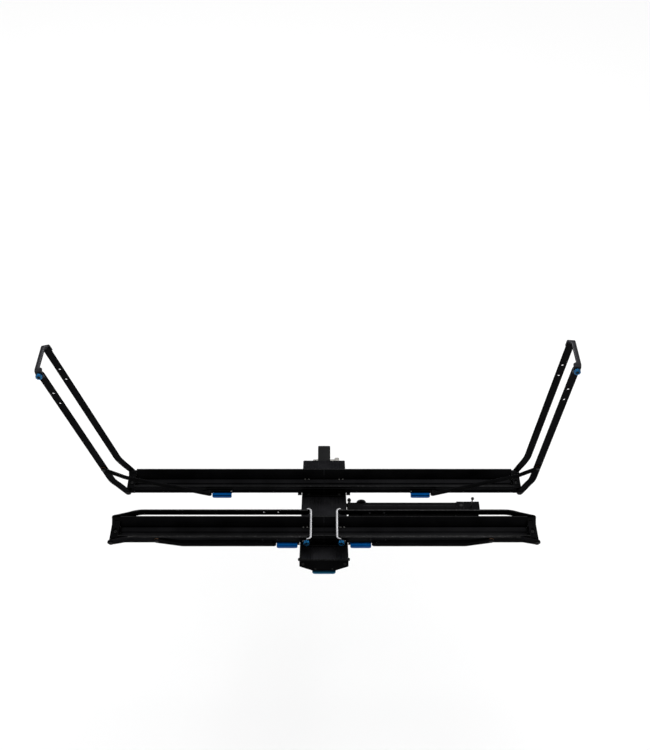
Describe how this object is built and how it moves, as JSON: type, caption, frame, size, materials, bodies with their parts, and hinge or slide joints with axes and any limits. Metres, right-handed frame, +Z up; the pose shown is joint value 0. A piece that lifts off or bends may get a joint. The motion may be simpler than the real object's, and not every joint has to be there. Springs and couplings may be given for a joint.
{
  "type": "hitch mounted bike rack",
  "caption": "Platform bike rack on an inclined spine that plugs into a hitch receiver; hooped folding arms clamp the wheels in two level trays.",
  "frame": {"origin": "centre of the tongue's end face, the end that goes into the vehicle's receiver", "axes": "+Y to the vehicle along the tongue, +X to the right seen from behind the vehicle, +Z up"},
  "size_m": [1.7559, 0.8309, 0.9848],
  "materials": {
    "black_extrusion": "black anodised extrusion, satin, with fine draw lines",
    "black_arm": "black anodised flat bar, satin, with worn lighter edges",
    "black_steel": "black powder coat, fine orange peel",
    "blue_anodised": "blue anodised, satin with bright edges",
    "teal_handle": "blue-teal anodised, satin",
    "zinc_steel": "zinc plated steel, satin",
    "black_plastic": "moulded black plastic, matt"
  },
  "bodies": {
    "tongue": {"hitch_tongue": "black_steel", "tongue_plug": "black_plastic", "tongue_head": "black_steel", "hitch_pin": "zinc_steel", "pivot_bolt": "zinc_steel"},
    "rack": {"pivot_yoke": "black_steel", "spine": "black_extrusion", "end_plate": "black_extrusion", "handle_pin": "zinc_steel", "side_plunger": "black_steel", "inner_saddle": "black_extrusion", "outer_saddle": "black_extrusion", "inner_tray_left": "black_extrusion", "inner_tray_right": "black_extrusion", "outer_tray_left": "black_extrusion", "outer_tray_right": "black_extrusion", "inner_end_cap_left": "black_extrusion", "inner_end_cap_right": "black_extrusion", "outer_end_cap_left": "black_extrusion", "outer_end_cap_right": "black_extrusion", "lock_pivot": "black_steel"},
    "handle": {"tilt_handle": "teal_handle"},
    "latch": {"latch_bolt": "zinc_steel"},
    "lock_arm": {"lock_bar": "black_arm", "lock_block": "black_plastic"},
    "lock_screw": {"lock_screw": "zinc_steel"},
    "inner_left_arm": {"inner_left_bar_near": "black_arm", "inner_left_bar_far": "black_arm", "inner_left_hoop": "black_arm", "inner_left_axle": "black_steel"},
    "inner_left_knob": {"inner_left_knob": "blue_anodised"},
    "inner_left_slide": {"inner_left_slider": "black_arm"},
    "inner_left_brace": {"inner_left_brace": "black_arm"},
    "inner_left_lever": {"inner_left_lever": "blue_anodised"},
    "inner_right_arm": {"inner_right_bar_near": "black_arm", "inner_right_bar_far": "black_arm", "inner_right_hoop": "black_arm", "inner_right_axle": "black_steel"},
    "inner_right_knob": {"inner_right_knob": "blue_anodised"},
    "inner_right_slide": {"inner_right_slider": "black_arm"},
    "inner_right_brace": {"inner_right_brace": "black_arm"},
    "inner_right_lever": {"inner_right_lever": "blue_anodised"},
    "outer_left_arm": {"outer_left_bar_near": "black_arm", "outer_left_bar_far": "black_arm", "outer_left_hoop": "black_arm", "outer_left_axle": "black_steel"},
    "outer_left_knob": {"outer_left_knob": "blue_anodised"},
    "outer_left_slide": {"outer_left_slider": "black_arm"},
    "outer_left_brace": {"outer_left_brace": "black_arm"},
    "outer_left_lever": {"outer_left_lever": "blue_anodised"},
    "outer_right_arm": {"outer_right_bar_near": "black_arm", "outer_right_bar_far": "black_arm", "outer_right_hoop": "black_arm", "outer_right_axle": "black_steel"},
    "outer_right_knob": {"outer_right_knob": "blue_anodised"},
    "outer_right_slide": {"outer_right_slider": "black_arm"},
    "outer_right_brace": {"outer_right_brace": "black_arm"},
    "outer_right_lever": {"outer_right_lever": "blue_anodised"}
  },
  "joints": [
    {"name": "rack_tilt", "type": "hinge", "parent": "tongue", "child": "rack", "pos_m": [0, -0.165, 0], "axis": [1, 0, 0], "range_deg": [-68, 20]},
    {"name": "handle_squeeze", "type": "hinge", "parent": "rack", "child": "handle", "pos_m": [0, -0.79324, 0.38296], "axis": [1, 0, 0], "range_deg": [0, 20], "stiffness_Nm_per_rad": 0.6, "springref_deg": -20.05},
    {"name": "latch_slide", "type": "slide", "parent": "rack", "child": "latch", "axis": [0, -0.9285, 0.3714], "range_m": [0, 0.0105]},
    {"name": "lock_bar_swing", "type": "hinge", "parent": "rack", "child": "lock_arm", "pos_m": [0.13, -0.5865, 0.3855], "axis": [0, -1, 0], "range_deg": [0, 90]},
    {"name": "lock_screw_turn", "type": "hinge", "parent": "lock_arm", "child": "lock_screw", "pos_m": [0.5115, -0.5865, 0.42], "axis": [0, 0, 1], "continuous": true},
    {"name": "inner_left_fold", "type": "hinge", "parent": "rack", "child": "inner_left_arm", "pos_m": [-0.723, -0.37, 0.262], "axis": [0, 1, 0], "range_deg": [0, 104.7]},
    {"name": "inner_left_knob_turn", "type": "hinge", "parent": "inner_left_arm", "child": "inner_left_knob", "pos_m": [-0.9158, -0.441, 0.89841], "axis": [0, 1, 0], "continuous": true},
    {"name": "inner_left_slider_travel", "type": "slide", "parent": "rack", "child": "inner_left_slide", "axis": [1, 0, 0], "range_m": [0, 0.25188]},
    {"name": "inner_left_brace_swing", "type": "hinge", "parent": "inner_left_slide", "child": "inner_left_brace", "pos_m": [-0.42189, -0.4333, 0.267], "axis": [0, -1, 0], "range_deg": [0, 18.54]},
    {"name": "inner_left_lever_pull", "type": "hinge", "parent": "inner_left_slide", "child": "inner_left_lever", "pos_m": [-0.37639, -0.4196, 0.26], "axis": [-1, 0, 0], "range_deg": [0, 25], "stiffness_Nm_per_rad": 0.3, "springref_deg": -20.05},
    {"name": "inner_right_fold", "type": "hinge", "parent": "rack", "child": "inner_right_arm", "pos_m": [0.723, -0.37, 0.262], "axis": [0, -1, 0], "range_deg": [0, 95.4]},
    {"name": "inner_right_knob_turn", "type": "hinge", "parent": "inner_right_arm", "child": "inner_right_knob", "pos_m": [0.81042, -0.441, 0.9212], "axis": [0, 1, 0], "continuous": true},
    {"name": "inner_right_slider_travel", "type": "slide", "parent": "rack", "child": "inner_right_slide", "axis": [-1, 0, 0], "range_m": [0, 0.2305]},
    {"name": "inner_right_brace_swing", "type": "hinge", "parent": "inner_right_slide", "child": "inner_right_brace", "pos_m": [0.4005, -0.4333, 0.267], "axis": [0, 1, 0], "range_deg": [0, 19.88]},
    {"name": "inner_right_lever_pull", "type": "hinge", "parent": "inner_right_slide", "child": "inner_right_lever", "pos_m": [0.355, -0.4196, 0.26], "axis": [-1, 0, 0], "range_deg": [0, 25], "stiffness_Nm_per_rad": 0.3, "springref_deg": -20.05},
    {"name": "outer_left_raise", "type": "hinge", "parent": "rack", "child": "outer_left_arm", "pos_m": [-0.723, -0.6705, 0.3795], "axis": [0, -1, 0], "range_deg": [0, 104.7]},
    {"name": "outer_left_knob_turn", "type": "hinge", "parent": "outer_left_arm", "child": "outer_left_knob", "pos_m": [-0.0585, -0.7415, 0.4045], "axis": [0, 1, 0], "continuous": true},
    {"name": "outer_left_slider_travel", "type": "slide", "parent": "rack", "child": "outer_left_slide", "axis": [-1, 0, 0], "range_m": [0, 0.25188]},
    {"name": "outer_left_brace_swing", "type": "hinge", "parent": "outer_left_slide", "child": "outer_left_brace", "pos_m": [-0.17051, -0.7338, 0.3845], "axis": [0, 1, 0], "range_deg": [0, 18.54]},
    {"name": "outer_left_lever_pull", "type": "hinge", "parent": "outer_left_slide", "child": "outer_left_lever", "pos_m": [-0.12501, -0.7201, 0.3775], "axis": [-1, 0, 0], "range_deg": [0, 25], "stiffness_Nm_per_rad": 0.3, "springref_deg": -20.05},
    {"name": "outer_right_raise", "type": "hinge", "parent": "rack", "child": "outer_right_arm", "pos_m": [0.723, -0.6705, 0.3795], "axis": [0, 1, 0], "range_deg": [0, 104.7]},
    {"name": "outer_right_knob_turn", "type": "hinge", "parent": "outer_right_arm", "child": "outer_right_knob", "pos_m": [0.0585, -0.7415, 0.4045], "axis": [0, 1, 0], "continuous": true},
    {"name": "outer_right_slider_travel", "type": "slide", "parent": "rack", "child": "outer_right_slide", "axis": [1, 0, 0], "range_m": [0, 0.25188]},
    {"name": "outer_right_brace_swing", "type": "hinge", "parent": "outer_right_slide", "child": "outer_right_brace", "pos_m": [0.17051, -0.7338, 0.3845], "axis": [0, -1, 0], "range_deg": [0, 18.54]},
    {"name": "outer_right_lever_pull", "type": "hinge", "parent": "outer_right_slide", "child": "outer_right_lever", "pos_m": [0.12501, -0.7201, 0.3775], "axis": [-1, 0, 0], "range_deg": [0, 25], "stiffness_Nm_per_rad": 0.3, "springref_deg": -20.05}
  ],
  "couplings": [
    {"joint": "latch_slide", "follows": "handle_squeeze", "m_per_rad": 0.028648},
    {"joint": "inner_left_slider_travel", "follows": "inner_left_fold", "m_per_rad": 0.13756},
    {"joint": "inner_left_brace_swing", "follows": "inner_left_fold", "ratio": 0.17657},
    {"joint": "inner_right_slider_travel", "follows": "inner_right_fold", "m_per_rad": 0.13813},
    {"joint": "inner_right_brace_swing", "follows": "inner_right_fold", "ratio": 0.20783},
    {"joint": "outer_left_slider_travel", "follows": "outer_left_raise", "m_per_rad": 0.13756},
    {"joint": "outer_left_brace_swing", "follows": "outer_left_raise", "ratio": 0.17657},
    {"joint": "outer_right_slider_travel", "follows": "outer_right_raise", "m_per_rad": 0.13756},
    {"joint": "outer_right_brace_swing", "follows": "outer_right_raise", "ratio": 0.17657}
  ]
}
